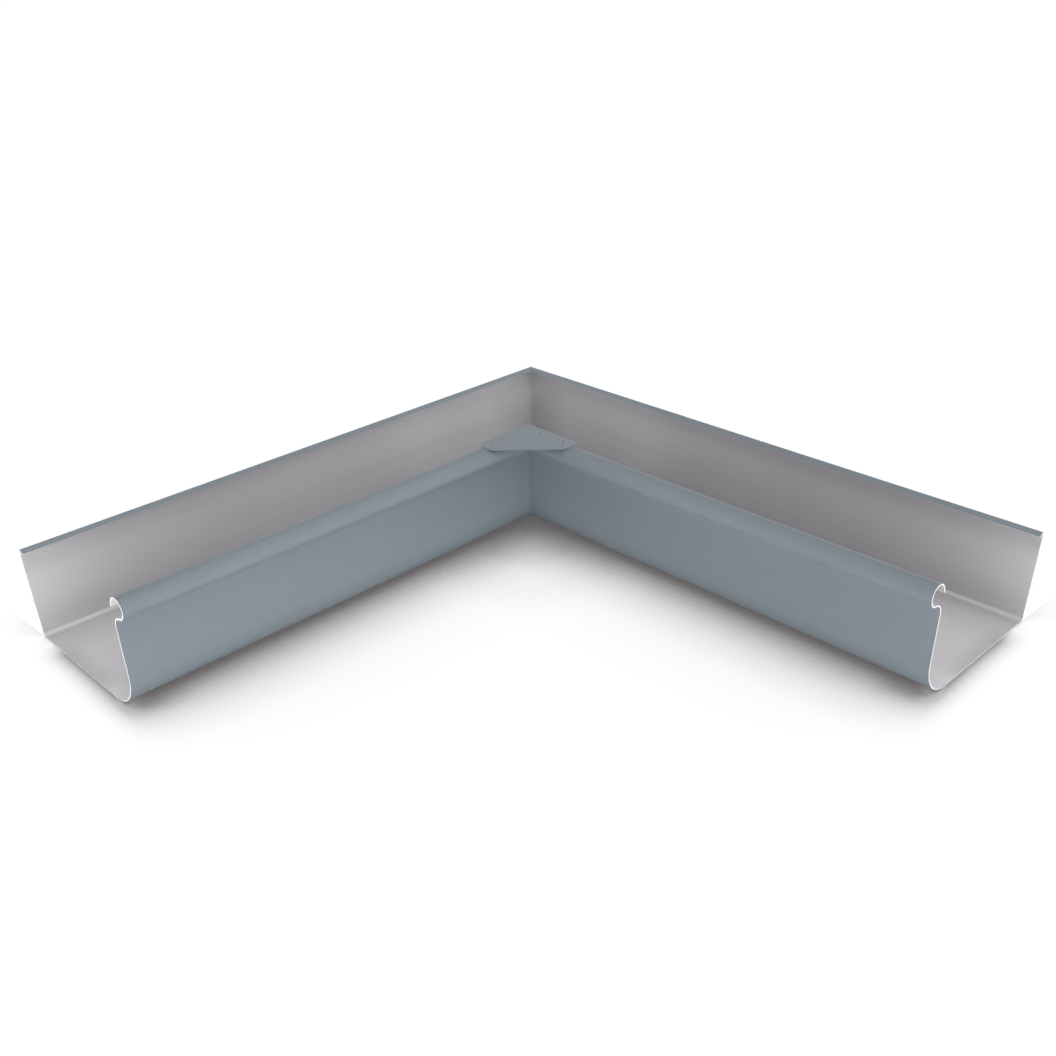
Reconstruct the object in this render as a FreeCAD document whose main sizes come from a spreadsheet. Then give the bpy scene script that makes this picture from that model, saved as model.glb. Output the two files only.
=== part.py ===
import FreeCAD, Part
import math
import os
import Sketcher

# Internal corner of a box-shaped sheet-metal gutter, with its front higher than its back.
#
# Two folded legs meet in a mitre. A flat plate bridges the mitre of their rolled front beads
# and is held on the crowns of the beads by four blind rivets.
#
# Frame, in millimetres: the origin is where the two fascia boards meet, level with the
# underside of the sole. The right leg runs along +X and the left leg along -Y, with their
# backs to the boards. +Z is up.
#
# "Across" is the distance from a leg's fascia board, and "along" runs away from the corner.

# Driving dimensions, each with what it measures. Angles are in degrees.
SIZES = {
    "leg_length": (486, "fascia corner to the open end of a leg"),
    "sheet": (0.8, "thickness of the coated sheet"),
    "back_height": (66, "underside of the sole to the top of the back wall's fold"),
    "front_height": (86, "underside of the sole to the crown of the bead"),
    "sole_width": (134.4, "heel to toe, where the faces of the walls would meet the sole"),
    "back_lean": (7, "lean of the back wall, bottom towards the channel"),
    "front_lean": (4.5, "lean of the front wall, top towards the channel"),
    "lip_width": (5.6, "fascia board to the edge of the lip that is folded in at the back"),
    "lip_fall": (25, "fall of that lip towards the channel"),
    "fold_radius": (1.4, "outside radius of the lip's fold"),
    "heel_radius": (3.8, "outside radius between the back wall and the sole"),
    "toe_radius": (26, "outside radius between the sole and the front wall"),
    "valley_radius": (7, "hollow radius between the front wall and the bead"),
    "bead_diameter": (15.2, "outside diameter of the rolled bead"),
    "bead_forward": (7.1, "axis of the bead in front of the front wall's face"),
    "tail_length": (3.3, "straight edge that ends the bead"),
    "tail_lean": (17, "lean of that edge, tip towards the channel"),
    "plate_leg": (53.5, "side of the corner plate along each bead"),
    "plate_band": (14.5, "width of the corner plate at its two ends"),
    "plate_behind": (8.5, "back edge of the corner plate to the axis of the bead"),
    "plate_thickness": (1.0, "thickness of the corner plate"),
    "plate_round": (5, "rounding of the corners at the plate's ends"),
    "plate_tip": (1, "rounding of the plate's back corner"),
    "rivet_first": (23, "back edge of the plate to the inner rivet"),
    "rivet_pitch": (23, "inner rivet to outer rivet on one bead"),
    "rivet_diameter": (3.2, "shank of a rivet"),
    "rivet_clearance": (0.05, "radial room of a rivet in its hole"),
    "head_diameter": (6.4, "domed head of a rivet"),
    "head_height": (1.1, "height of that head"),
    "mandrel_diameter": (1.8, "recess that the snapped mandrel leaves in the head"),
    "mandrel_depth": (0.7, "depth of that recess"),
    "bulb_diameter": (4.8, "formed blind end of a rivet"),
    "bulb_length": (4.8, "length of that end, from the sheet to its round nose"),
}

SIDES = ("right", "left")
# Directions of the right leg.
UP = FreeCAD.Vector(0, 0, 1)
ALONG = FreeCAD.Vector(1, 0, 0)
ACROSS = FreeCAD.Vector(0, -1, 0)
# From the mitre plane towards the fascia boards of the right leg, seen from above.
MITRE_HEADING = 135
# How near two points in a plan lie to count as one.
SAME_PLACE = 0.01
# Places on a sketch's shapes, and a sketch's own axes. Its origin is a point of the first axis.
START, END, CENTRE = 1, 2, 3
HORIZONTAL_AXIS, VERTICAL_AXIS = -1, -2
ORIGIN = HORIZONTAL_AXIS


def value(name):
    return float(SIZES[name][0])


def point(across, up):
    return FreeCAD.Vector(across, up, 0)


def heading(degrees):
    """Unit vector in the plane of a sketch."""
    return point(math.cos(math.radians(degrees)), math.sin(math.radians(degrees)))


def make_sheet(doc):
    """Spreadsheet of the driving dimensions, one row each."""
    sheet = doc.addObject("Spreadsheet::Sheet", "Sizes")
    for row, (name, (number, meaning)) in enumerate(SIZES.items(), start=1):
        sheet.set(f"A{row}", name)
        sheet.set(f"B{row}", str(number))
        sheet.setAlias(f"B{row}", name)
        sheet.set(f"C{row}", meaning)
    doc.recompute()


def bind(thing, prop, text):
    """Bind a property to the spreadsheet; text names its cells as Sizes.name."""
    thing.setExpression(prop, text)


def arc_between(centre, radius, first, last):
    """Arc about a centre, counter-clockwise from the first heading to the last, in degrees."""
    circle = Part.Circle(centre, UP, radius)
    return Part.ArcOfCircle(circle, math.radians(first), math.radians(last))


def fold(corner, before, after, radius):
    """Centre and tangent points of the fold at a corner, where the outline turns left."""
    turn = math.radians((after - before) % 360)
    reach = radius * math.tan(turn / 2)
    start = corner - heading(before) * reach
    end = corner + heading(after) * reach
    return start + heading(before + 90) * radius, start, end


def constrain(sketch, kind, *rest, name=None, cell=None):
    """Add a constraint, and bind it to the sheet when it has a name."""
    index = sketch.addConstraint(Sketcher.Constraint(kind, *rest))
    if name:
        sketch.renameConstraint(index, name)
        sketch.setExpression(f"Constraints.{name}", cell)


def pin(sketch, shape, end, place, name, cells):
    """Fix one point of a sketch by its distances from the origin, each bound to its own text."""
    kinds = ("DistanceX", "DistanceY")
    axes = (VERTICAL_AXIS, HORIZONTAL_AXIS)
    for kind, axis, size, cell in zip(kinds, axes, (place.x, place.y), cells):
        if cell is None:
            constrain(sketch, "PointOnObject", shape, end, axis)
            continue
        ends = (ORIGIN, START, shape, end) if size > 0 else (shape, end, ORIGIN, START)
        constrain(sketch, kind, *ends, abs(size), name=f"{name}_{kind[-1].lower()}", cell=cell)


def section_sketch(doc):
    """Coated face of the sheet, from the back lip round the channel to the end of the bead.

    In the sketch, x is across from the fascia and y is up from the underside of the sole.
    """
    back_up = 90 + value("back_lean")
    front_up = 90 + value("front_lean")
    lip_back = 180 - value("lip_fall")
    tail_down = 270 - value("tail_lean")
    bead_radius = value("bead_diameter") / 2
    valley_radius = value("valley_radius")

    # The top fold lies against the fascia board, and its crown is the height of the back.
    fold_radius = value("fold_radius")
    fold_centre = point(fold_radius, value("back_height") - fold_radius)
    fold_start = fold_centre + heading(lip_back - 90) * fold_radius
    fold_end = fold_centre + heading(back_up + 90) * fold_radius
    lip_run = (value("lip_width") - fold_start.x) / heading(lip_back).x
    lip_end = fold_start + heading(lip_back) * lip_run
    heel = point(fold_end.x + fold_end.y * math.tan(math.radians(value("back_lean"))), 0)
    toe = heel + point(value("sole_width"), 0)
    heel_centre, heel_start, heel_end = fold(heel, back_up + 180, 360, value("heel_radius"))
    toe_centre, toe_start, toe_end = fold(toe, 0, front_up, value("toe_radius"))

    # The bead's axis is set by its height and by its distance from the front wall's face.
    outward = heading(front_up - 90)
    bead_height = value("front_height") - bead_radius
    slope = heading(front_up)
    run = (bead_height - value("bead_forward") * outward.y) / slope.y
    bead_centre = toe + slope * run + outward * value("bead_forward")
    # The valley touches the wall on one side and the bead on the other.
    sideways = value("bead_forward") - valley_radius
    drop = math.sqrt((bead_radius + valley_radius) ** 2 - sideways**2)
    valley_centre = bead_centre - outward * sideways - slope * drop
    valley_start = valley_centre - outward * valley_radius
    to_bead = bead_centre - valley_centre
    meet = math.degrees(math.atan2(to_bead.y, to_bead.x))
    bead_end = bead_centre + heading(tail_down - 90) * bead_radius
    tail_end = bead_end + heading(tail_down) * value("tail_length")

    sketch = doc.addObject("Sketcher::SketchObject", "section")
    sketch.Placement.Rotation = FreeCAD.Rotation(ACROSS, UP, -ALONG, "XYZ")
    pieces = {
        "lip": Part.LineSegment(lip_end, fold_start),
        "top_fold": arc_between(fold_centre, fold_radius, lip_back - 90, back_up + 90),
        "back": Part.LineSegment(heel_start, fold_end),
        "heel": arc_between(heel_centre, value("heel_radius"), back_up + 90, 270),
        "sole": Part.LineSegment(heel_end, toe_start),
        "toe": arc_between(toe_centre, value("toe_radius"), -90, front_up - 90),
        "front": Part.LineSegment(toe_end, valley_start),
        "valley": arc_between(valley_centre, valley_radius, meet, front_up + 90),
        "bead": arc_between(bead_centre, bead_radius, meet - 180, tail_down - 90),
        "tail": Part.LineSegment(tail_end, bead_end),
    }
    part = {name: sketch.addGeometry(shape) for name, shape in pieces.items()}
    joins = [
        ("lip", END, "top_fold", START),
        ("top_fold", END, "back", END),
        ("back", START, "heel", START),
        ("heel", END, "sole", START),
        ("sole", END, "toe", START),
        ("toe", END, "front", START),
        ("front", END, "valley", END),
        ("valley", START, "bead", START),
        ("bead", END, "tail", END),
    ]
    for first, first_end, second, second_end in joins:
        constrain(sketch, "Tangent", part[first], first_end, part[second], second_end)

    # Corners where the straight faces would meet, which carry the width of the sole.
    corners = {"heel": (heel, "back", "sole"), "toe": (toe, "sole", "front")}
    mark = {}
    for name, (place, first, second) in corners.items():
        mark[name] = sketch.addGeometry(Part.Point(place), True)
        constrain(sketch, "PointOnObject", mark[name], START, part[first])
        constrain(sketch, "PointOnObject", mark[name], START, part[second])
    constrain(sketch, "PointOnObject", mark["heel"], START, HORIZONTAL_AXIS)
    constrain(sketch, "PointOnObject", mark["toe"], START, HORIZONTAL_AXIS)

    def length(kind, *rest, name, cell=None):
        constrain(sketch, kind, *rest, name=name, cell=cell or f"Sizes.{name}")

    def slant(line, degrees, name, cell):
        constrain(sketch, "Angle", part[line], math.radians(degrees), name=name, cell=cell)

    fold_cells = ("Sizes.fold_radius", "Sizes.back_height - Sizes.fold_radius")
    pin(sketch, part["top_fold"], CENTRE, fold_centre, "top_fold", fold_cells)
    length("DistanceX", mark["heel"], START, mark["toe"], START, value("sole_width"), name="sole_width")
    length("DistanceX", ORIGIN, START, part["lip"], START, value("lip_width"), name="lip_width")
    length("Distance", part["tail"], value("tail_length"), name="tail_length")
    slant("back", back_up, "back_lean", "90 deg + Sizes.back_lean * 1 deg")
    slant("front", front_up, "front_lean", "90 deg + Sizes.front_lean * 1 deg")
    slant("lip", lip_back, "lip_fall", "180 deg - Sizes.lip_fall * 1 deg")
    slant("tail", tail_down - 180, "tail_lean", "90 deg - Sizes.tail_lean * 1 deg")
    length("Radius", part["top_fold"], fold_radius, name="fold_radius")
    length("Radius", part["heel"], value("heel_radius"), name="heel_radius")
    length("Radius", part["toe"], value("toe_radius"), name="toe_radius")
    length("Radius", part["valley"], valley_radius, name="valley_radius")
    length("Diameter", part["bead"], 2 * bead_radius, name="bead_diameter")
    length("Distance", part["bead"], CENTRE, part["front"], value("bead_forward"), name="bead_forward")
    bead_up = "Sizes.front_height - Sizes.bead_diameter / 2"
    length("DistanceY", ORIGIN, START, part["bead"], CENTRE, bead_height, name="bead_up", cell=bead_up)

    # Reference size that seats the plate and the rivets on the bead.
    across = Sketcher.Constraint(
        "DistanceX", ORIGIN, START, part["bead"], CENTRE, bead_centre.x
    )
    index = sketch.addConstraint(across)
    sketch.setDriving(index, False)
    sketch.renameConstraint(index, "bead_across")
    doc.recompute()
    return sketch


BEAD_ACROSS = "section.Constraints.bead_across / 1 mm"
CROWN = "Sizes.front_height"
HOLE_RADIUS = "Sizes.rivet_diameter / 2 + Sizes.rivet_clearance"
PLATE_BACK = f"{BEAD_ACROSS} - Sizes.plate_behind"
RIVET_ALONG = {
    "inner": f"{PLATE_BACK} + Sizes.rivet_first",
    "outer": f"{PLATE_BACK} + Sizes.rivet_first + Sizes.rivet_pitch",
}


def cut(doc, name, base, tool):
    result = doc.addObject("Part::Cut", name)
    result.Base = base
    result.Tool = tool
    return result


def make_right_leg(doc):
    """Sheet of the section's outline, extruded, mitred and drilled for two rivets."""
    sketch = section_sketch(doc)
    strip = doc.addObject("Part::Offset2D", "strip")
    strip.Source = sketch
    strip.Mode = "Skin"
    strip.Join = "Arc"
    strip.Fill = True
    bind(strip, "Value", "Sizes.sheet")

    run = doc.addObject("Part::Extrusion", "run")
    run.Base = strip
    run.DirMode = "Custom"
    run.Dir = ALONG
    run.Solid = True
    bind(run, "LengthFwd", "Sizes.leg_length")

    # Everything on the corner's side of the mitre plane, in a box that is turned onto it.
    waste = doc.addObject("Part::Box", "mitre_waste")
    waste.Placement.Rotation = FreeCAD.Rotation(UP, MITRE_HEADING)
    bind(waste, "Placement.Base.x", "2 * Sizes.sole_width")
    bind(waste, "Placement.Base.y", "-2 * Sizes.sole_width")
    bind(waste, "Length", "4 * Sizes.sole_width")
    bind(waste, "Width", "3 * Sizes.sole_width")
    bind(waste, "Height", "2 * Sizes.front_height")
    bind(waste, "Placement.Base.z", "-Sizes.front_height / 2")
    mitred = cut(doc, "mitred", run, waste)

    drills = doc.addObject("Part::MultiFuse", "drills")
    tools = []
    for which, along in RIVET_ALONG.items():
        drill = doc.addObject("Part::Cylinder", f"drill_{which}")
        bind(drill, "Radius", HOLE_RADIUS)
        bind(drill, "Height", "Sizes.bead_diameter")
        bind(drill, "Placement.Base.x", along)
        bind(drill, "Placement.Base.y", f"-({BEAD_ACROSS})")
        bind(drill, "Placement.Base.z", f"{CROWN} - Sizes.bead_diameter / 2")
        tools.append(drill)
    drills.Shapes = tools

    leg = cut(doc, "right_leg", mitred, drills)
    leg.Label = "right_leg"
    return leg


def make_left_leg(doc, right):
    """The right leg's twin, mirrored in the mitre plane."""
    leg = doc.addObject("Part::Mirroring", "left_leg")
    leg.Label = "left_leg"
    leg.Source = right
    leg.Base = FreeCAD.Vector(0, 0, 0)
    leg.Normal = FreeCAD.Vector(1, 1, 0)
    return leg


def origin_plane(body, role):
    return next(plane for plane in body.Origin.OriginFeatures if plane.Role == role)


def body_sketch(body, name, role):
    """Sketch on one of a body's own origin planes."""
    sketch = body.newObject("Sketcher::SketchObject", name)
    sketch.AttachmentSupport = [(origin_plane(body, role), "")]
    sketch.MapMode = "FlatFace"
    return sketch


def closed_outline(sketch, corners):
    """Ring of straight lines through the corners, joined end to end."""
    lines = []
    for here, there in zip(corners, corners[1:] + corners[:1]):
        lines.append(sketch.addGeometry(Part.LineSegment(here, there)))
    for line, following in zip(lines, lines[1:] + lines[:1]):
        constrain(sketch, "Coincident", line, END, following, START)
    return lines


def upright_edges(feature, wanted):
    """Names of a feature's vertical edges that stand near the wanted places in plan."""
    names = []
    for number, edge in enumerate(feature.Shape.Edges, start=1):
        low, high = edge.Vertexes[0].Point, edge.Vertexes[-1].Point
        foot, head = point(low.x, low.y), point(high.x, high.y)
        upright = foot.distanceToPoint(head) < SAME_PLACE
        if upright and any(foot.distanceToPoint(place) < SAME_PLACE for place in wanted):
            names.append(f"Edge{number}")
    return names


def make_corner_plate(doc):
    """Square plate over the beads' mitre, with its front corner cut off and four holes."""
    body = doc.addObject("PartDesign::Body", "corner_plate")
    body.Label = "corner_plate"
    bind(body, "Placement.Base.x", PLATE_BACK)
    bind(body, "Placement.Base.y", f"-({PLATE_BACK})")
    bind(body, "Placement.Base.z", CROWN)

    # The body's origin is the plate's back corner; it spreads along +X and -Y.
    leg, band = value("plate_leg"), value("plate_band")
    ends = [point(0, -leg), point(band, -leg), point(leg, -band), point(leg, 0)]
    sketch = body_sketch(body, "plate_outline", "XY_Plane")
    left, left_end, _, right_end, right = closed_outline(sketch, [point(0, 0)] + ends)
    constrain(sketch, "Coincident", left, START, ORIGIN, START)
    for line in (left, right_end):
        constrain(sketch, "Vertical", line)
    for line in (left_end, right):
        constrain(sketch, "Horizontal", line)
    constrain(sketch, "Distance", left, leg, name="left_side", cell="Sizes.plate_leg")
    constrain(sketch, "Distance", right, leg, name="right_side", cell="Sizes.plate_leg")
    constrain(sketch, "Distance", left_end, band, name="left_band", cell="Sizes.plate_band")
    constrain(sketch, "Distance", right_end, band, name="right_band", cell="Sizes.plate_band")
    pad = body.newObject("PartDesign::Pad", "plate_pad")
    pad.Profile = sketch
    bind(pad, "Length", "Sizes.plate_thickness")
    doc.recompute()

    rounding = body.newObject("PartDesign::Fillet", "plate_ends")
    rounding.Base = (pad, upright_edges(pad, ends))
    bind(rounding, "Radius", "Sizes.plate_round")
    doc.recompute()
    tip = body.newObject("PartDesign::Fillet", "plate_back_corner")
    tip.Base = (rounding, upright_edges(rounding, [point(0, 0)]))
    bind(tip, "Radius", "Sizes.plate_tip")
    doc.recompute()

    holes = body_sketch(body, "plate_holes", "XY_Plane")
    radius = value("rivet_diameter") / 2 + value("rivet_clearance")
    near, near_cell = value("plate_behind"), "Sizes.plate_behind"
    inner = value("rivet_first")
    reaches = {
        "inner": (inner, "Sizes.rivet_first"),
        "outer": (inner + value("rivet_pitch"), "Sizes.rivet_first + Sizes.rivet_pitch"),
    }
    for which, (far, far_cell) in reaches.items():
        centres = {
            f"right_{which}": (point(far, -near), (far_cell, near_cell)),
            f"left_{which}": (point(near, -far), (near_cell, far_cell)),
        }
        for name, (place, cells) in centres.items():
            hole = holes.addGeometry(Part.Circle(place, UP, radius))
            pin(holes, hole, CENTRE, place, name, cells)
            constrain(holes, "Radius", hole, radius, name=f"{name}_radius", cell=HOLE_RADIUS)
    drilled = body.newObject("PartDesign::Pocket", "plate_drilling")
    drilled.Profile = holes
    drilled.Type = "ThroughAll"
    drilled.Reversed = True
    doc.recompute()
    return body


def under_bead(radius):
    """Depth below the head's seat at which a ring of this radius just clears the bead's inside.

    The inside falls away from the crown on both sides. The radius is the text of a binding.
    """
    inside = "(Sizes.bead_diameter / 2 - Sizes.sheet)"
    fall = f"{inside} - sqrt({inside} ^ 2 - ({radius}) ^ 2)"
    return f"Sizes.plate_thickness + Sizes.sheet + {fall} + Sizes.rivet_clearance"


def rivet_profile(body, name):
    """Half section of a set blind rivet, with the seat of its head on the sketch's x axis."""
    head, dome = value("head_diameter") / 2, value("head_height")
    shank, bulb = value("rivet_diameter") / 2, value("bulb_diameter") / 2
    recess, floor = value("mandrel_diameter") / 2, dome - value("mandrel_depth")
    inside = value("bead_diameter") / 2 - value("sheet")
    grip = value("plate_thickness") + value("sheet")
    neck = grip + inside - math.sqrt(inside**2 - shank**2) + value("rivet_clearance")
    shoulder = grip + inside - math.sqrt(inside**2 - bulb**2) + value("rivet_clearance")
    nose = grip + value("bulb_length")
    dome_radius = (head**2 + dome**2) / (2 * dome)
    dome_centre = dome - dome_radius
    rim = dome_centre + math.sqrt(dome_radius**2 - recess**2)
    dome_start = math.degrees(math.atan2(-dome_centre, head))
    dome_end = math.degrees(math.atan2(rim - dome_centre, recess))

    outline = [
        Part.LineSegment(point(0, -nose), point(0, floor)),
        Part.LineSegment(point(0, floor), point(recess, floor)),
        Part.LineSegment(point(recess, floor), point(recess, rim)),
        arc_between(point(0, dome_centre), dome_radius, dome_start, dome_end),
        Part.LineSegment(point(head, 0), point(shank, 0)),
        Part.LineSegment(point(shank, 0), point(shank, -neck)),
        Part.LineSegment(point(shank, -neck), point(bulb, -shoulder)),
        Part.LineSegment(point(bulb, -shoulder), point(bulb, bulb - nose)),
        arc_between(point(0, bulb - nose), bulb, -90, 0),
    ]
    sketch = body_sketch(body, f"{name}_profile", "XZ_Plane")
    axis, hollow, wall, crown, seat, barrel, shoulder_line, side, tip = sketch.addGeometry(outline)
    joins = [
        (axis, END, hollow, START),
        (hollow, END, wall, START),
        (wall, END, crown, END),
        (crown, START, seat, START),
        (seat, END, barrel, START),
        (barrel, END, shoulder_line, START),
        (shoulder_line, END, side, START),
        (side, END, tip, END),
        (tip, START, axis, START),
    ]
    for join in joins:
        constrain(sketch, "Coincident", *join)
    constrain(sketch, "Vertical", wall)
    constrain(sketch, "PointOnObject", crown, CENTRE, VERTICAL_AXIS)
    constrain(sketch, "PointOnObject", axis, START, VERTICAL_AXIS)

    recess_cell, shank_cell, bulb_cell = (
        f"Sizes.{name} / 2" for name in ("mandrel_diameter", "rivet_diameter", "bulb_diameter")
    )
    end_cell = "Sizes.plate_thickness + Sizes.sheet + Sizes.bulb_length - Sizes.bulb_diameter / 2"
    floor_cell = "Sizes.head_height - Sizes.mandrel_depth"
    dome_cell = "(Sizes.head_diameter ^ 2 / 4 + Sizes.head_height ^ 2) / (2 * Sizes.head_height)"
    places = [
        ("floor", axis, END, point(0, floor), (None, floor_cell)),
        ("recess", hollow, END, point(recess, floor), (recess_cell, floor_cell)),
        ("head", seat, START, point(head, 0), ("Sizes.head_diameter / 2", None)),
        ("shank", seat, END, point(shank, 0), (shank_cell, None)),
        ("neck", barrel, END, point(shank, -neck), (shank_cell, under_bead(shank_cell))),
        ("shoulder", side, START, point(bulb, -shoulder), (bulb_cell, under_bead(bulb_cell))),
        ("barrel", side, END, point(bulb, bulb - nose), (bulb_cell, end_cell)),
        ("nose", tip, CENTRE, point(0, bulb - nose), (None, end_cell)),
    ]
    for spot, shape, end, place, cells in places:
        pin(sketch, shape, end, place, spot, cells)
    constrain(sketch, "Radius", crown, dome_radius, name="dome_radius", cell=dome_cell)
    return sketch


def make_rivet(doc, side, which):
    """Set blind rivet: domed head with the mandrel's recess, shank, and formed blind end."""
    name = f"rivet_{side}_{which}"
    body = doc.addObject("PartDesign::Body", name)
    body.Label = name
    along = RIVET_ALONG[which]
    x_cell, y_cell = (along, BEAD_ACROSS) if side == "right" else (BEAD_ACROSS, along)
    bind(body, "Placement.Base.x", x_cell)
    bind(body, "Placement.Base.y", f"-({y_cell})")
    bind(body, "Placement.Base.z", f"{CROWN} + Sizes.plate_thickness")
    turned = body.newObject("PartDesign::Revolution", f"{name}_turned")
    sketch = rivet_profile(body, name)
    turned.Profile = sketch
    turned.ReferenceAxis = (sketch, ["V_Axis"])
    turned.Angle = 360
    doc.recompute()
    return body


def check(doc, pieces):
    """Stop before writing if anything in the document failed."""
    for thing in doc.Objects:
        bad = {"Invalid", "Error"} & set(thing.State)
        if bad:
            raise RuntimeError(f"{thing.Name} is {bad}")
    for piece in pieces:
        shape = piece.Shape
        if shape.isNull() or not shape.isValid() or len(shape.Solids) != 1:
            raise RuntimeError(f"{piece.Label} is not one valid solid")


def main():
    doc = FreeCAD.newDocument("gutter_corner")
    make_sheet(doc)
    right = make_right_leg(doc)
    pieces = [right, make_left_leg(doc, right), make_corner_plate(doc)]
    for side in SIDES:
        for which in RIVET_ALONG:
            pieces.append(make_rivet(doc, side, which))
    doc.recompute()
    check(doc, pieces)
    os.makedirs("parts", exist_ok=True)
    for piece in pieces:
        piece.Shape.exportStep(f"parts/{piece.Label}.step")
        box = piece.Shape.BoundBox
        print(f"{piece.Label}: {piece.Shape.Volume:.1f} mm3, {box}")


main()
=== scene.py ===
"""Looks of an internal gutter corner: two folded legs of coated sheet, a corner plate and its rivets.

Lengths are in metres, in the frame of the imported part. The right leg runs along +X and the left
leg along -Y. "Along" is the distance down a leg from the corner, "across" is the distance from the
leg's fascia board, and "up" is +Z.
"""

from functools import partial
from math import ceil, cos, radians, sin

import bmesh
import bpy
from mathutils import Matrix, Vector


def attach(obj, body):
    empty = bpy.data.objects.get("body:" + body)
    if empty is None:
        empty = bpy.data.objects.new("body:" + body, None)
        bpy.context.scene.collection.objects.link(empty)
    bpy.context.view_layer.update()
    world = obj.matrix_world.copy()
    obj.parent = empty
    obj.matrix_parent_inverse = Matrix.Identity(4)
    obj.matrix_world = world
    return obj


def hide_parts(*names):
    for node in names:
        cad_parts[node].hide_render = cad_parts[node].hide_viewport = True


MM = 0.001
BODY = "root"

# Section of a leg, walked along its coated side from the lip's edge to the bead's edge.
# Bends are a radius and a turn in degrees.
SHEET = 0.8 * MM
LEG_LENGTH = 486 * MM
LIP_EDGE = (5.6 * MM, 64.186 * MM)
LIP_HEADING = 155
LIP_RUN = 3.981 * MM
BACK_RUN = 61.551 * MM
SOLE_RUN = 102.911 * MM
FRONT_RUN = 35.357 * MM
TAIL_RUN = 3.3 * MM
LIP_FOLD = (1.4 * MM, 122)
HEEL = (3.8 * MM, 83)
TOE = (26 * MM, 94.5)
VALLEY = (7 * MM, -90.392)
BEAD = (7.6 * MM, 248.892)
BEND_STEP = 3
EASE = 0.4 * MM

# Slides one end of the right leg to the mitre, and turns the right leg into its mirror twin.
TO_MITRE = Matrix(((1, -1, 0, 0), (0, 1, 0, 0), (0, 0, 1, 0), (0, 0, 0, 1)))
TO_LEFT = Matrix(((0, -1, 0, 0), (-1, 0, 0, 0), (0, 0, 1, 0), (0, 0, 0, 1)))

# Order of the materials on a leg.
OUTER_FACE, INNER_FACE, CUT_FACE = range(3)

# Colours, as they are in linear light.
OUTSIDE = (0.236, 0.273, 0.305)
INSIDE = (0.496, 0.483, 0.498)
# BRIGHT is the cut edges' own colour, and also the painted light inside a bead's open end.
BRIGHT = (0.80, 0.81, 0.83)

# Coil coating: patterns as features per metre, the share of the cloud in the shade,
# the change of colour and gloss that the patterns make, and the pebble's relief.
CLOUD_SCALE = 9
DRAW_SCALE = 260
PEBBLE_SCALE = 1400
NOISE_SPAN = (0.3, 0.7)
NOISE_MIDDLE = 0.5
CLOUD_SHARE = 0.6
COLOUR_CHANGE = 0.025
GLOSS_CHANGE = 0.05
PEBBLE_STRENGTH = 0.12
PEBBLE_DEPTH = 0.08 * MM
DRAW_DEPTH = 0.4
DRAW_STRETCH = 0.06
SPECULAR = 0.2
LEG_GLOSS = 0.5
PLATE_GLOSS = 0.42
RIVET_GLOSS = 0.4

# Sheared edges: shear marks, and painted shade on their foot close to the ground.
SHEAR_SCALE = 2500
SHEAR_COLOURS = (0.93, 1.03)
SHEAR_STRENGTH = 0.2
SHEAR_DEPTH = 0.05 * MM
SHEAR_METAL = 0.35
SHEAR_GLOSS = 0.42
SHEAR_GLOSS_CHANGE = 0.1
EDGE_FOOT = 0.7
EDGE_RISE = (0, 9 * MM)

# Tones of the coats, which paint shade and light into their colour: a low and a high end, the gain
# that a level of 1 stands for, and stops, each a place from 0 to 1 between the two ends and a level.
WALL_TONE = (0, 66 * MM, 1.2, (
    (0.0, 0.72),
    (0.18, 0.77),
    (0.30, 0.82),
    (0.45, 0.86),
    (0.58, 0.885),
    (0.70, 0.87),
    (0.82, 0.80),
    (0.92, 0.83),
    (1.0, 0.94),
))
ALONG_TONE = (0, LEG_LENGTH, 1.085, (
    (0.0, 0.88),
    (0.1, 0.918),
    (0.2, 0.868),
    (0.3, 0.905),
    (0.5, 0.941),
    (0.62, 0.90),
    (0.77, 0.841),
    (0.9, 0.873),
    (1.0, 1.0),
))
FOOT_TONE = (0, LEG_LENGTH, 1.1, (
    (0.0, 0.92),
    (0.2, 0.95),
    (0.4, 0.955),
    (0.6, 0.94),
    (0.72, 0.90),
    (0.85, 0.86),
    (0.95, 0.835),
    (1.0, 0.87),
))
SOLE_TONE = (0, 120 * MM, 1.3, (
    (0.0, 0.858),
    (0.09, 0.849),
    (0.11, 0.738),
    (0.18, 0.80),
    (0.25, 0.83),
    (0.375, 0.912),
    (0.5, 0.962),
    (0.8, 0.985),
    (1.0, 1.0),
))
BEAD_TONE = (72 * MM, 90 * MM, 1, (
    (0.0, 1.0),
    (0.35, 1.0),
    (0.45, 0.945),
    (0.64, 0.893),
    (0.72, 0.92),
    (0.81, 1.0),
    (1.0, 1.0),
))

# Places where the coats' painted shade and light change: pairs are where a mask leaves 0 and where it
# reaches 1.
WALL_FOOT = (1.8 * MM, 3.0 * MM)
WALL_SIDE = (40 * MM, 20 * MM)
FOOT_RISE = (28 * MM, 12 * MM)
LIP_SHADE = (52 * MM, 62 * MM)
LIP_SHADE_DEPTH = {"left": 0, "right": 0.15}
RIM_REACH = (472 * MM, 484 * MM)
RIM_HEEL = (28 * MM, 45 * MM)
RIM_TOE = (104 * MM, 88 * MM)
RIM_DEPTH = 0.17
INNER_TOE = (96 * MM, 110 * MM)
INNER_TOE_GAIN = 0.08
CORNER_REACH = {"left": (22 * MM, 60 * MM), "right": (12 * MM, 45 * MM)}
CORNER_DEPTH = {"left": 0.10, "right": 0.19}
CORNER_TOP = (32 * MM, 58 * MM)
CORNER_SIDE = (30 * MM, 60 * MM)
FRONT_MITRE = (40 * MM, 5 * MM)
FRONT_MITRE_GAIN = {"left": 0.055, "right": -0.04}
BORE_FOOT = (69 * MM, 71 * MM)
BORE_MOUTH = (472 * MM, 481 * MM)
BORE_GAIN = {"left": 1, "right": 0.73}
PLATE_EDGE = (86.95 * MM, 86.8 * MM)
PLATE_EDGE_DEPTH = 0.15

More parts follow.
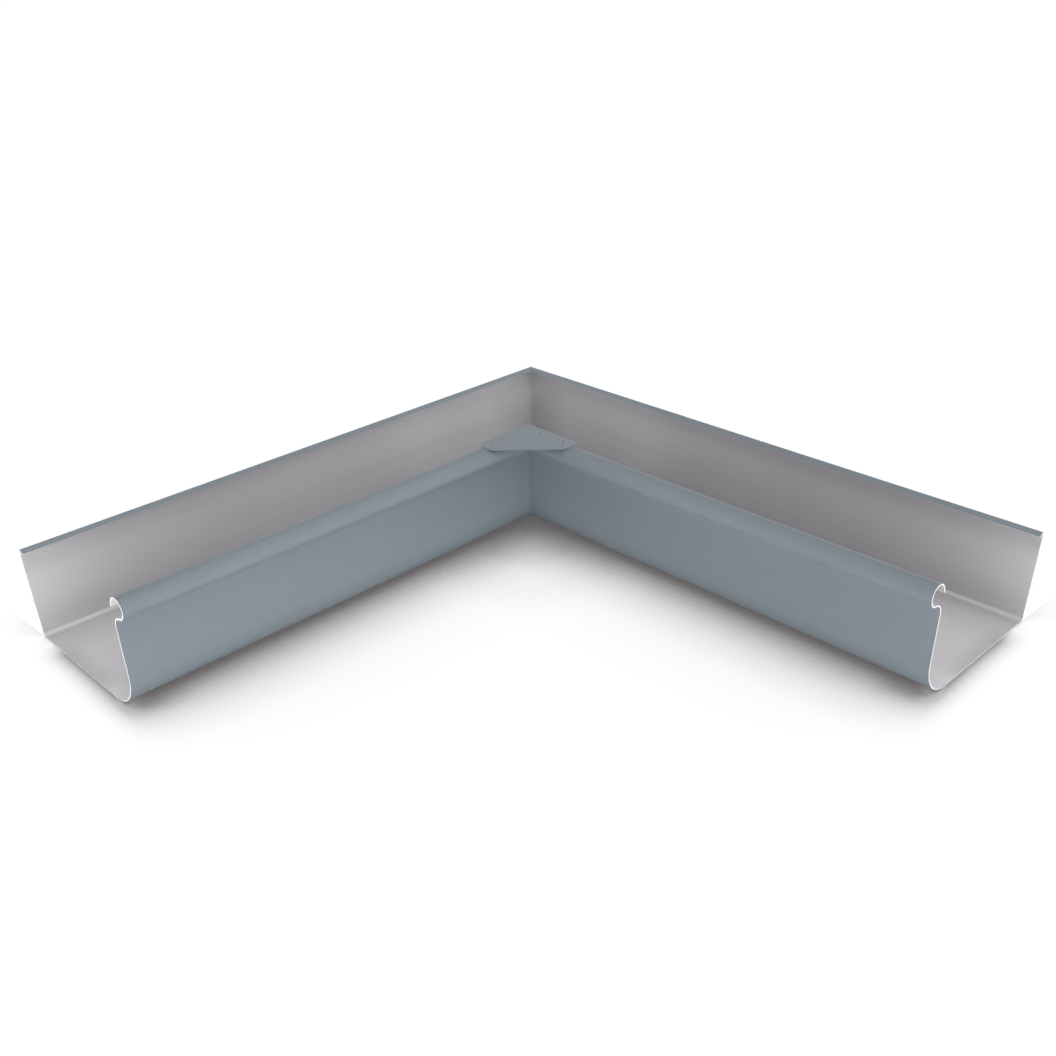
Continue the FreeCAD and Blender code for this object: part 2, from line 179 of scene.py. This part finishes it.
# Turn about X, in degrees, that makes a camera, a card or a lamp face level instead of down.
LEVEL = 90

# Camera: place, then yaw, pitch and roll in degrees.
PHOTO_SIZE = 1056
CAMERA_PLACE = (752.56 * MM, -728.91 * MM, 440.33 * MM)
CAMERA_YAW = 46.2847
CAMERA_PITCH = -27.397
CAMERA_ROLL = 1.5816
FOCAL_PIXELS = 1190.546
SENSOR_WIDTH = 36
CLIP = (0.01, 100)

# Floor: its mesh is shifted so that no edge of its triangles passes below the part.
FLOOR_SIZE = 30
FLOOR_SHIFT = 5
FLOOR_CLOTH = 0.2
FLOOR_GLOW = 0.875
FLOOR_BOUNCE = 0.8

# How the part dims the ground near it: two reaches, the stops from open to closed,
# and the warm tint of the shade.
NEAR_REACH = 60 * MM
WIDE_REACH = 120 * MM
SHADE_SAMPLES = 8
SHADE = (
    (0.0, 1.0),
    (0.09, 0.955),
    (0.165, 0.888),
    (0.27, 0.795),
    (0.40, 0.64),
    (0.46, 0.50),
    (0.55, 0.34),
    (0.75, 0.19),
    (1.0, 0.12),
)
SHADE_TINT = (1, 0.935, 0.94, 1)
SHADE_SPAN = (0.2, 0.65)

# Contact shade around a leg's open end, which is softer beyond and beside the toe,
# and the light that gets in under the toe's end.
CONTACT_REACH = 26 * MM
CONTACT_DEPTH = 0.71
CONTACT_POWER = 3.2
CONTACT_HEEL = (22 * MM, 42 * MM)
CONTACT_END = (-4 * MM, 1 * MM)
TOE_SIDE = 126 * MM
TOE_STRETCH = 0.42
TOE_SOFT = 3 * MM
TOE_START = (112 * MM, 124 * MM)
TOE_FOOT = (128 * MM, 140 * MM)
TOE_TAPER = (-40 * MM, -8 * MM)
INLET_START = (-15 * MM, -5 * MM)
INLET_END = (0.5 * MM, -3 * MM)
INLET_SIDE = (132 * MM, 123 * MM)
INLET_GAIN = 0.75

# Paler spot where both front walls send light to the ground before the mitre.
MITRE_SPOT = 159.5 * MM
MITRE_REACH = 32 * MM
MITRE_GAIN = 0.3

# Lights: the world's pale horizon, a card beyond each open end, and lamps as strength, spread,
# heading and height.
HORIZON = 4.75
BAND = 0.36
CARD_SIZE = (300 * MM, 120 * MM)
CARD_AWAY = 200 * MM
CARD_ACROSS = 75 * MM
CARD_POWER = {"left": 0.361, "right": 0.308}
CARD_HEADING = {"left": 0, "right": 90}
LAMPS = {
    "side_softbox": (0.926, 60, 90, 62),
    "top_softbox": (0.629, 60, 0, 90),
    "front_softbox": (0.245, 60, 60, 30),
}


class Wire:
    """One output of a shader node. Sums on wires add Math nodes."""

    def __init__(self, paint, socket):
        self.paint = paint
        self.socket = socket

    def maths(self, operation, first, second):
        return self.paint.node("Math", {"operation": operation}, {0: first, 1: second})["Value"]

    def __add__(self, other):
        return self.maths("ADD", self, other)

    def __sub__(self, other):
        return self.maths("SUBTRACT", self, other)

    def __rsub__(self, other):
        return self.maths("SUBTRACT", other, self)

    def __mul__(self, other):
        return self.maths("MULTIPLY", self, other)

    def __pow__(self, other):
        return self.maths("POWER", self, other)

    def at_least(self, other):
        return self.maths("MAXIMUM", self, other)

    def at_most(self, other):
        return self.maths("MINIMUM", self, other)

    __radd__ = __add__
    __rmul__ = __mul__


class Paint:
    """The node tree of one material or world."""

    def __init__(self, owner):
        owner.use_nodes = True
        self.tree = owner.node_tree
        self.tree.nodes.clear()

    def node(self, kind, settings=None, sockets=None):
        """Adds a node and gives its outputs by name."""
        made = self.tree.nodes.new(f"ShaderNode{kind}")
        for name, setting in (settings or {}).items():
            setattr(made, name, setting)
        for name, given in (sockets or {}).items():
            if isinstance(given, Wire):
                self.tree.links.new(given.socket, made.inputs[name])
            else:
                made.inputs[name].default_value = given
        return {output.name: Wire(self, output) for output in made.outputs if output.enabled}

    def curve(self, wire, stops):
        """A smooth grey curve through the stops, each a place from 0 to 1 and a level."""
        made = self.tree.nodes.new("ShaderNodeValToRGB")
        made.color_ramp.interpolation = "CARDINAL"
        while len(made.color_ramp.elements) < len(stops):
            made.color_ramp.elements.new(1)
        for element, (place, level) in zip(made.color_ramp.elements, stops):
            element.position = place
            element.color = grey(level)
        self.tree.links.new(wire.socket, made.inputs[0])
        return Wire(self, made.outputs["Color"])

    def spread(self, wire, low, high, interpolation="LINEAR"):
        """Takes a wire that runs from low to high to the range 0 to 1."""
        ends = {"Value": wire, "From Min": low, "From Max": high}
        return self.node("MapRange", {"interpolation_type": interpolation}, ends)["Result"]

    def tone(self, wire, low, high, top, stops):
        """A gain that follows the stops while the wire runs from low to high."""
        return self.curve(self.spread(wire, low, high), stops) * top

    def place(self, stretch=(1, 1, 1)):
        """Points of the piece in metres, stretched for a pattern that runs with the sheet."""
        points = self.node("TexCoord")["Object"]
        return self.node("Mapping", None, {"Vector": points, "Scale": stretch})["Vector"]

    def leg_places(self):
        """Along and across the leg that a point belongs to, and its height."""
        here = self.node("SeparateXYZ", None, {"Vector": self.node("TexCoord")["Object"]})
        ahead = here["Y"] * -1
        return here["X"].at_least(ahead), here["X"].at_most(ahead), here["Z"]

    def noise(self, points, per_metre, detail=2):
        return self.node(
            "TexNoise",
            {"noise_dimensions": "3D"},
            {"Vector": points, "Scale": per_metre, "Detail": detail},
        )["Fac"]

    def blend(self, mask, first, second):
        """Mixes two colours by a mask. Sockets 6 and 7 are the ones for colours."""
        mixed = self.node("Mix", {"data_type": "RGBA"}, {0: mask, 6: first, 7: second})
        return list(mixed.values())[-1]

    def dim(self, colour, gain):
        """Multiplies a colour by a number."""
        return self.node("VectorMath", {"operation": "SCALE"}, {0: colour, "Scale": gain})["Vector"]

    def seen_ray(self):
        """1 for rays that show the floor or the backdrop itself, 0 for the light these send on."""
        ray = self.node("LightPath")
        shown = ray["Is Camera Ray"]
        for kind in ("Is Glossy Ray", "Is Transmission Ray"):
            shown = shown.at_least(ray[kind])
        return shown

    def finish(self, shader):
        self.node("OutputMaterial", None, {"Surface": shader})


def grey(level):
    return (level, level, level, 1)


def tint(colour, gain):
    return (*(part * gain for part in colour), 1)


def inside_painted_shading(paint, side):
    """The inside's gain: painted shade above the heel, by the sole's open end, under the right lip and
    by the mitre, and painted light along the heel and by the toe's open end.
    """
    along, across, up = paint.leg_places()
    wall = paint.tone(up, *WALL_TONE) * paint.tone(along, *ALONG_TONE)
    wall = wall * (1 - paint.spread(up, *LIP_SHADE) * LIP_SHADE_DEPTH[side])
    wall = wall * (1 + (paint.tone(along, *FOOT_TONE) - 1) * paint.spread(up, *FOOT_RISE))
    # Painted shade along the sole by the open end, and painted light by the toe there.
    rim_shade = paint.spread(across, *RIM_HEEL) * paint.spread(across, *RIM_TOE) * RIM_DEPTH
    lit = paint.spread(across, *INNER_TOE) * INNER_TOE_GAIN
    sole = paint.tone(across, *SOLE_TONE) * (1 + (lit - rim_shade) * paint.spread(along, *RIM_REACH))
    on_wall = paint.spread(up, *WALL_FOOT) * paint.spread(across, *WALL_SIDE)
    # Painted shade close to the mitre, low on the back wall and on the sole.
    clear = paint.spread(along - across, *CORNER_REACH[side]).at_least(paint.spread(up, *CORNER_TOP))
    clear = clear.at_least(paint.spread(across, *CORNER_SIDE))
    return (sole + (wall - sole) * on_wall) * (1 - (1 - clear) * CORNER_DEPTH[side])


def bore_mouth_light(paint):
    """1 on the inside of a bead, close to its open end, where light is painted in."""
    along, _, up = paint.leg_places()
    return paint.spread(up, *BORE_FOOT) * paint.spread(along, *BORE_MOUTH)


# The inside's painted shading, and painted light inside a bead's open end.
def inside_look(side, paint, base):
    toned = paint.dim(base, inside_painted_shading(paint, side))
    return paint.blend(bore_mouth_light(paint), toned, tint(BRIGHT, BORE_GAIN[side]))


def outside_look(side, paint, base):
    """Painted shade on the front of the bead's crown. By the mitre, painted light on the left front
    wall and painted shade on the right one.
    """
    along, across, up = paint.leg_places()
    by_mitre = paint.spread(along - across, *FRONT_MITRE) * paint.spread(across, *CORNER_SIDE)
    return paint.dim(base, paint.tone(up, *BEAD_TONE) * (1 + by_mitre * FRONT_MITRE_GAIN[side]))


def plate_edge_shade_look(paint, base):
    """Painted shade on the plate's cut edge, below its top face."""
    _, _, up = paint.leg_places()
    return paint.dim(base, 1 - paint.spread(up, *PLATE_EDGE) * PLATE_EDGE_DEPTH)


def coat(name, colour, stretch, gloss, look=None):
    """Coil coating: an even colour with a faint draw along the sheet and a fine pebble."""
    material = bpy.data.materials.new(name)
    paint = Paint(material)
    points = paint.place()
    drawn = paint.place(stretch)
    cloud = paint.spread(paint.noise(points, CLOUD_SCALE), *NOISE_SPAN)
    draw = paint.spread(paint.noise(drawn, DRAW_SCALE), *NOISE_SPAN)
    pebble = paint.noise(points, PEBBLE_SCALE, detail=1)
    shade = cloud * CLOUD_SHARE + draw * (1 - CLOUD_SHARE)
    base = paint.blend(shade, tint(colour, 1 - COLOUR_CHANGE), tint(colour, 1 + COLOUR_CHANGE))
    # A look paints light and shade into the colour.
    if look:
        base = look(paint, base)
    height = pebble + draw * DRAW_DEPTH
    relief = {"Strength": PEBBLE_STRENGTH, "Distance": PEBBLE_DEPTH, "Height": height}
    shader = paint.node(
        "BsdfPrincipled",
        None,
        {
            "Base Color": base,
            "Roughness": gloss + (draw - NOISE_MIDDLE) * GLOSS_CHANGE,
            "Normal": paint.node("Bump", None, relief)["Normal"],
            "Specular IOR Level": SPECULAR,
        },
    )["BSDF"]
    paint.finish(shader)
    return material


def cut_edge(name, colour):
    """Sheared edge of the sheet, bright, with fine shear marks across its thickness and painted shade
    close to the ground.
    """
    material = bpy.data.materials.new(name)
    paint = Paint(material)
    marks = paint.spread(paint.noise(paint.place(), SHEAR_SCALE, detail=1), *NOISE_SPAN)
    dark, light = SHEAR_COLOURS
    base = paint.blend(marks, tint(colour, dark), tint(colour, light))
    _, _, up = paint.leg_places()
    # Painted shade: the edge is darker close to the ground.
    base = paint.dim(base, EDGE_FOOT + paint.spread(up, *EDGE_RISE) * (1 - EDGE_FOOT))
    relief = {"Strength": SHEAR_STRENGTH, "Distance": SHEAR_DEPTH, "Height": marks}
    shader = paint.node(
        "BsdfPrincipled",
        None,
        {
            "Base Color": base,
            "Metallic": SHEAR_METAL,
            "Roughness": SHEAR_GLOSS + marks * SHEAR_GLOSS_CHANGE,
            "Normal": paint.node("Bump", None, relief)["Normal"],
        },
    )["BSDF"]
    paint.finish(shader)
    return material


def leg_finishes(side):
    """The materials of a leg: its outside, its inside and its cut edges."""
    stretch = (DRAW_STRETCH, 1, 1) if side == "right" else (1, DRAW_STRETCH, 1)
    return [
        coat(f"{side}_outside_coat", OUTSIDE, stretch, LEG_GLOSS, partial(outside_look, side)),
        coat(f"{side}_inside_coat", INSIDE, stretch, LEG_GLOSS, partial(inside_look, side)),
        cut_edge(f"{side}_cut_edge", BRIGHT),
    ]


def paint_small_pieces(nodes):
    """Coats the corner plate and the rivets. The legs are folded anew instead."""
    plate_coat = coat("plate_coat", OUTSIDE, (1, 1, 1), PLATE_GLOSS, plate_edge_shade_look)
    rivet_coat = coat("rivet_coat", OUTSIDE, (1, 1, 1), RIVET_GLOSS)
    for name, node in nodes.items():
        if "leg" not in name:
            node.data.materials.clear()
            node.data.materials.append(rivet_coat if "rivet" in name else plate_coat)


class Folder:
    """Walks a short edge, as wide as the sheet is thick, along the section of a leg.

    The edge leaves the section's flat face behind it. Its first point is on the coated side.
    """

    def __init__(self, start, heading):
        self.bm = bmesh.new()
        self.depth = self.bm.verts.layers.float.new("depth")
        self.heading = heading
        outer = self.bm.verts.new(self.lift(start))
        inner = self.bm.verts.new(self.lift(start) + self.left() * SHEET)
        outer[self.depth] = 0
        inner[self.depth] = 1
        self.tip = self.bm.edges.new((outer, inner))

    def lift(self, place):
        across, up = place
        return Vector((0, -across, up))

    def ahead(self):
        return self.lift((cos(radians(self.heading)), sin(radians(self.heading))))

    def left(self):
        return self.lift((-sin(radians(self.heading)), cos(radians(self.heading))))

    def outer_end(self):
        return min(self.tip.verts, key=lambda vert: vert[self.depth])

    def step(self, length):
        grown = bmesh.ops.extrude_edge_only(self.bm, edges=[self.tip])["geom"]
        ends = {part for part in grown if isinstance(part, bmesh.types.BMVert)}
        edges = [part for part in grown if isinstance(part, bmesh.types.BMEdge)]
        bmesh.ops.translate(self.bm, verts=list(ends), vec=self.ahead() * length)
        self.tip = next(edge for edge in edges if set(edge.verts) == ends)

    def run(self, length):
        """A flat, with a narrow strip at each end that keeps a bend's shading in the bend."""
        for part in (EASE, length - 2 * EASE, EASE):
            self.step(part)

    def bend(self, radius, turn):
        """A bend of the coated side. A turn to the right is negative."""
        side = 1 if turn > 0 else -1
        centre = self.outer_end().co + self.left() * radius * side
        swept = bmesh.ops.spin(
            self.bm,
            geom=[self.tip, *self.tip.verts],
            cent=centre,
            axis=(-1, 0, 0),
            angle=radians(turn),
            steps=ceil(abs(turn) / BEND_STEP),
        )["geom_last"]
        self.tip = next(part for part in swept if isinstance(part, bmesh.types.BMEdge))
        self.heading += turn


def fold_section():
    folder = Folder(LIP_EDGE, LIP_HEADING)
    folder.run(LIP_RUN)
    folder.bend(*LIP_FOLD)
    folder.run(BACK_RUN)
    folder.bend(*HEEL)
    folder.run(SOLE_RUN)
    folder.bend(*TOE)
    folder.run(FRONT_RUN)
    folder.bend(*VALLEY)
    folder.bend(*BEAD)
    folder.run(TAIL_RUN)
    return folder.bm, folder.depth


def sort_faces(bm, depth, open_end):
    """Gives each face its material. The sheet's long edges are coated, and only its ends are bare."""
    for face in bm.faces:
        depths = {round(vert[depth]) for vert in face.verts}
        is_long = len({vert in open_end for vert in face.verts}) == 2
        if depths == {0}:
            face.material_index = OUTER_FACE
        elif depths == {1} or is_long:
            face.material_index = INNER_FACE
        else:
            face.material_index = CUT_FACE
        face.smooth = len(depths) == 1
    for edge in bm.edges:
        edge.smooth = len({face.material_index for face in edge.link_faces}) == 1


def make_leg(side):
    """Draws the folded section out to the leg's end, and slides its other end to the mitre."""
    bm, depth = fold_section()
    mitre_end = list(bm.verts)
    drawn = bmesh.ops.extrude_face_region(bm, geom=bm.faces[:])["geom"]
    open_end = [part for part in drawn if isinstance(part, bmesh.types.BMVert)]
    bmesh.ops.translate(bm, verts=open_end, vec=(LEG_LENGTH, 0, 0))
    bmesh.ops.transform(bm, matrix=TO_MITRE, verts=mitre_end)
    if side == "left":
        bmesh.ops.transform(bm, matrix=TO_LEFT, verts=bm.verts[:])
    bmesh.ops.recalc_face_normals(bm, faces=bm.faces[:])
    sort_faces(bm, depth, set(open_end))
    mesh = bpy.data.meshes.new(f"{side}_leg_folded")
    bm.to_mesh(mesh)
    bm.free()
    for material in leg_finishes(side):
        mesh.materials.append(material)
    leg = bpy.data.objects.new(f"{side}_leg_folded", mesh)
    bpy.context.scene.collection.objects.link(leg)
    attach(leg, BODY)
    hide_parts(f"{side}_leg")


def make_camera():
    camera = bpy.data.cameras.new("camera")
    camera.sensor_fit = "HORIZONTAL"
    camera.sensor_width = SENSOR_WIDTH
    camera.lens = FOCAL_PIXELS / PHOTO_SIZE * SENSOR_WIDTH
    camera.clip_start, camera.clip_end = CLIP
    holder = bpy.data.objects.new("camera", camera)
    bpy.context.scene.collection.objects.link(holder)
    holder.matrix_world = (
        Matrix.Translation(CAMERA_PLACE)
        @ Matrix.Rotation(radians(CAMERA_YAW), 4, "Z")
        @ Matrix.Rotation(radians(CAMERA_PITCH), 4, "X")
        @ Matrix.Rotation(radians(CAMERA_ROLL), 4, "Y")
        @ Matrix.Rotation(radians(LEVEL), 4, "X")
    )
    bpy.context.scene.camera = holder


def contact_shade(paint):
    """Dims the ground by a leg's open end and the toe's last stretch. Light gets in under the toe."""
    along, across, _ = paint.leg_places()
    past = along - LEG_LENGTH
    beyond = past.at_least(0)
    beside = (across - TOE_SIDE).at_least(0) * TOE_STRETCH
    away = (beyond ** 2 + beside ** 2) ** 0.5
    start, full = CONTACT_END
    at_end = paint.spread(past, start, full + paint.spread(across, *TOE_START) * TOE_SOFT)
    at_toe = paint.spread(across, *TOE_FOOT) * paint.spread(past, *TOE_TAPER)
    where = (1 - (1 - at_end) * (1 - at_toe)) * paint.spread(across, *CONTACT_HEEL)
    dimmed = paint.spread(away, CONTACT_REACH, 0) ** CONTACT_POWER * where * CONTACT_DEPTH
    inlet = paint.spread(past, *INLET_START) * paint.spread(past, *INLET_END)
    inlet = inlet * paint.spread(across, *INLET_SIDE) * INLET_GAIN
    return (1 - dimmed) * (1 + inlet)


def mitre_spot(paint):
    """Brightens the ground a little before the mitre."""
    ends = {0: paint.node("TexCoord")["Object"], 1: (MITRE_SPOT, -MITRE_SPOT, 0)}
    away = paint.node("VectorMath", {"operation": "DISTANCE"}, ends)["Value"]
    return 1 + paint.spread(away, MITRE_REACH, 0, "SMOOTHSTEP") * MITRE_GAIN


def ground_shade(paint):
    """How bright the ground is, from 1 in the open to nearly 0 where the part closes it off."""
    near, wide = (
        paint.node("AmbientOcclusion", {"samples": SHADE_SAMPLES}, {"Distance": reach})["AO"]
        for reach in (NEAR_REACH, WIDE_REACH)
    )
    closed = 1 - (near + wide) * 0.5
    return paint.curve(closed, SHADE) * contact_shade(paint) * mitre_spot(paint)


def make_floor():
    """Seen, the floor is a cloth with a glow, both shaded. For light that bounces, it is plain."""
    bm = bmesh.new()
    shift = Matrix.Translation((FLOOR_SHIFT, 0, 0))
    bmesh.ops.create_grid(bm, x_segments=1, y_segments=1, size=FLOOR_SIZE, matrix=shift)
    mesh = bpy.data.meshes.new("floor")
    bm.to_mesh(mesh)
    bm.free()
    material = bpy.data.materials.new("studio_floor")
    paint = Paint(material)
    shade = ground_shade(paint)
    white = paint.blend(shade, grey(0), grey(FLOOR_CLOTH))
    cloth = paint.node("BsdfDiffuse", None, {"Color": white})["BSDF"]
    warm = paint.blend(paint.spread(shade, *SHADE_SPAN), SHADE_TINT, grey(1))
    glow = paint.node("Emission", None, {"Color": warm, "Strength": shade * FLOOR_GLOW})["Emission"]
    seen = paint.node("AddShader", None, {0: cloth, 1: glow})["Shader"]
    bounce = paint.node("BsdfDiffuse", None, {"Color": grey(FLOOR_BOUNCE)})["BSDF"]
    paint.finish(paint.node("MixShader", None, {0: paint.seen_ray(), 1: bounce, 2: seen})["Shader"])
    mesh.materials.append(material)
    floor = bpy.data.objects.new("floor", mesh)
    bpy.context.scene.collection.objects.link(floor)


def make_world():
    """A white backdrop where it is seen. For light, a horizon that fades out with height."""
    world = bpy.data.worlds.new("studio")
    bpy.context.scene.world = world
    paint = Paint(world)
    seen = paint.seen_ray()
    rise = paint.node("SeparateXYZ", None, {"Vector": paint.node("TexCoord")["Generated"]})["Z"]
    strength = paint.spread(rise, BAND, 0) * HORIZON * (1 - seen) + seen
    sky = paint.node("Background", None, {"Color": grey(1), "Strength": strength})["Background"]
    paint.node("OutputWorld", None, {"Surface": sky})


def make_end_card(side):
    """A white card that stands on the ground and faces a leg's open end."""
    card = bpy.data.lights.new(f"{side}_end_card", "AREA")
    card.shape = "RECTANGLE"
    card.size, card.size_y = CARD_SIZE
    card.energy = CARD_POWER[side]
    holder = bpy.data.objects.new(f"{side}_end_card", card)
    bpy.context.scene.collection.objects.link(holder)
    along, up = LEG_LENGTH + CARD_AWAY, card.size_y / 2
    place = (along, -CARD_ACROSS, up) if side == "right" else (CARD_ACROSS, -along, up)
    turn = Matrix.Rotation(radians(CARD_HEADING[side]), 4, "Z")
    aim = turn @ Matrix.Rotation(radians(LEVEL), 4, "X")
    holder.matrix_world = Matrix.Translation(place) @ aim
    holder.visible_camera = False


def make_lamp(name, strength, spread, heading, height):
    lamp = bpy.data.lights.new(name, "SUN")
    lamp.energy = strength
    lamp.angle = radians(spread)
    holder = bpy.data.objects.new(name, lamp)
    bpy.context.scene.collection.objects.link(holder)
    turn = Matrix.Rotation(radians(heading), 4, "Z")
    holder.matrix_world = turn @ Matrix.Rotation(radians(LEVEL - height), 4, "X")


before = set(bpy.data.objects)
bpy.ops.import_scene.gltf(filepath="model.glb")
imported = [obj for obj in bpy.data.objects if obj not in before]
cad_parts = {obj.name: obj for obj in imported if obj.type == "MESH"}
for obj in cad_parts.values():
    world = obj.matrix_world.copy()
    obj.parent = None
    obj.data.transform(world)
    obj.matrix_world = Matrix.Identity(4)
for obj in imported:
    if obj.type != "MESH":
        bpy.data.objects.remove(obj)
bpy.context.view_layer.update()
make_leg("right")
make_leg("left")
paint_small_pieces(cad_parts)
make_camera()
make_floor()
make_world()
for name, lamp in LAMPS.items():
    make_lamp(name, *lamp)
for side in CARD_POWER:
    make_end_card(side)
bpy.context.scene.view_settings.view_transform = "Standard"
